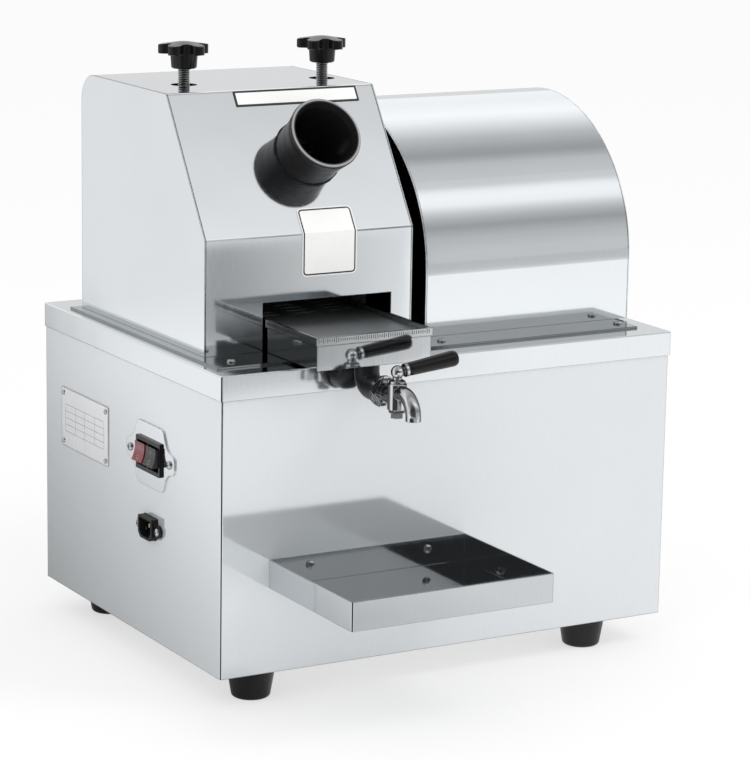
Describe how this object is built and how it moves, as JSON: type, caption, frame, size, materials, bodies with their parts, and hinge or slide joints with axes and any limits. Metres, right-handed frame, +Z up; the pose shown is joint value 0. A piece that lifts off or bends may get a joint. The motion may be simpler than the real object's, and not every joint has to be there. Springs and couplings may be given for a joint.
{
  "type": "electric sugarcane juicer",
  "caption": "Table-top sugarcane juicer: polished steel cabinet, motor-driven rollers under a sloping hood, feed tube, sliding trough with tap, drip tray.",
  "frame": {"origin": "on the floor under the middle of the whole footprint", "axes": "+X to the right seen from the operator, +Y to the back, +Z up"},
  "size_m": [0.509, 0.557, 0.6021],
  "materials": {
    "polished_sheet": "mirror-polished stainless sheet",
    "plain_sheet": "mill-finish stainless sheet",
    "machined_steel": "turned and milled stainless steel",
    "gear_steel": "hobbed steel, lightly oiled",
    "bush_bronze": "turned bronze",
    "screw_steel": "bright steel",
    "tap_chrome": "polished chrome plate",
    "black_rubber": "moulded black rubber",
    "black_gloss": "glossy black moulding",
    "red_rocker": "translucent red moulding",
    "black_matt": "fine-grained black moulding",
    "contact_brass": "plated contact pins",
    "gearbox_paint": "painted casting",
    "motor_alloy": "cast finned frame"
  },
  "bodies": {
    "machine": {"cabinet_shell": "polished_sheet", "back_panel": "plain_sheet", "base_pan": "plain_sheet", "lid": "polished_sheet", "deck_plate": "polished_sheet", "pan_screws": "screw_steel", "rubber_feet": "black_rubber", "foot_screws": "screw_steel", "roller_frame_left": "machined_steel", "roller_frame_right": "machined_steel", "frame_caps": "machined_steel", "lower_bushes": "bush_bronze", "cap_bolts": "screw_steel", "frame_bolts": "screw_steel", "tie_bars": "machined_steel", "turner_bar": "machined_steel", "housing_wrap": "polished_sheet", "housing_left_end": "polished_sheet", "housing_right_end": "polished_sheet", "feed_tube": "black_rubber", "residue_chute": "polished_sheet", "motor_cover_wrap": "polished_sheet", "motor_cover_left_end": "polished_sheet", "motor_cover_right_end": "polished_sheet", "gearbox": "gearbox_paint", "gearbox_bolts": "screw_steel", "motor_body": "motor_alloy", "motor_end_cap": "gearbox_paint", "drip_tray": "polished_sheet", "switch_plate": "polished_sheet", "switch_bezel": "black_gloss", "inlet_body": "black_matt", "inlet_pins": "contact_brass"},
    "drive_line": {"rear_roller": "machined_steel", "rear_gear": "gear_steel", "coupling_hubs": "gear_steel", "coupling_spider": "black_rubber", "gearbox_shaft": "machined_steel"},
    "front_roller_set": {"front_roller": "machined_steel", "front_gear": "gear_steel"},
    "bearing_carriage": {"bearing_blocks": "machined_steel", "upper_bushes": "bush_bronze"},
    "top_roller_set": {"top_roller": "machined_steel", "top_gear": "gear_steel"},
    "left_knob": {"star_knob_left": "black_gloss", "pressure_screw_left": "screw_steel"},
    "right_knob": {"star_knob_right": "black_gloss", "pressure_screw_right": "screw_steel"},
    "trough_set": {"juice_trough": "polished_sheet", "strainer": "plain_sheet", "drain_elbow": "black_rubber", "drain_nut": "screw_steel", "tap_locknut": "tap_chrome", "tap_body": "tap_chrome"},
    "tap_handle": {"tap_plug": "tap_chrome", "tap_tail_nut": "tap_chrome", "tap_lever_rod": "tap_chrome", "tap_lever_grip": "black_gloss"},
    "power_rocker_body": {"power_rocker": "red_rocker"},
    "direction_rocker_body": {"direction_rocker": "black_gloss"}
  },
  "joints": [
    {"name": "drive_spin", "type": "hinge", "parent": "machine", "child": "drive_line", "pos_m": [-0.10055, 0.13277, 0.42388], "axis": [1, 0, 0], "continuous": true},
    {"name": "front_roller_spin", "type": "hinge", "parent": "machine", "child": "front_roller_set", "pos_m": [-0.10055, 0.06223, 0.42388], "axis": [1, 0, 0], "continuous": true},
    {"name": "top_roller_lift", "type": "slide", "parent": "machine", "child": "bearing_carriage", "axis": [0, 0, 1], "range_m": [0, 0.00175]},
    {"name": "top_roller_spin", "type": "hinge", "parent": "bearing_carriage", "child": "top_roller_set", "pos_m": [-0.10055, 0.0975, 0.47242], "axis": [1, 0, 0], "continuous": true},
    {"name": "left_knob_turn", "type": "hinge", "parent": "bearing_carriage", "child": "left_knob", "pos_m": [-0.17655, 0.0975, 0.576], "axis": [0, 0, 1], "range_deg": [0, 360]},
    {"name": "right_knob_turn", "type": "hinge", "parent": "bearing_carriage", "child": "right_knob", "pos_m": [-0.02455, 0.0975, 0.576], "axis": [0, 0, 1], "range_deg": [0, 360]},
    {"name": "trough_slide", "type": "slide", "parent": "machine", "child": "trough_set", "axis": [0, -1, 0], "range_m": [0, 0.3]},
    {"name": "tap_handle_turn", "type": "hinge", "parent": "trough_set", "child": "tap_handle", "pos_m": [-0.10055, -0.1915, 0.3018], "axis": [0, 0, -1], "range_deg": [0, 90]},
    {"name": "power_rocker_tilt", "type": "hinge", "parent": "machine", "child": "power_rocker_body", "pos_m": [-0.24305, 0.0411, 0.2132], "axis": [0, -1, 0], "range_deg": [0, 23]},
    {"name": "direction_rocker_tilt", "type": "hinge", "parent": "machine", "child": "direction_rocker_body", "pos_m": [-0.24305, 0.0167, 0.2132], "axis": [0, -1, 0], "range_deg": [0, 23]}
  ],
  "couplings": [
    {"joint": "front_roller_spin", "follows": "drive_spin", "ratio": 1},
    {"joint": "top_roller_spin", "follows": "drive_spin", "ratio": -1},
    {"joint": "left_knob_turn", "follows": "top_roller_lift", "rad_per_m": 3590.4},
    {"joint": "right_knob_turn", "follows": "top_roller_lift", "rad_per_m": 3590.4}
  ]
}
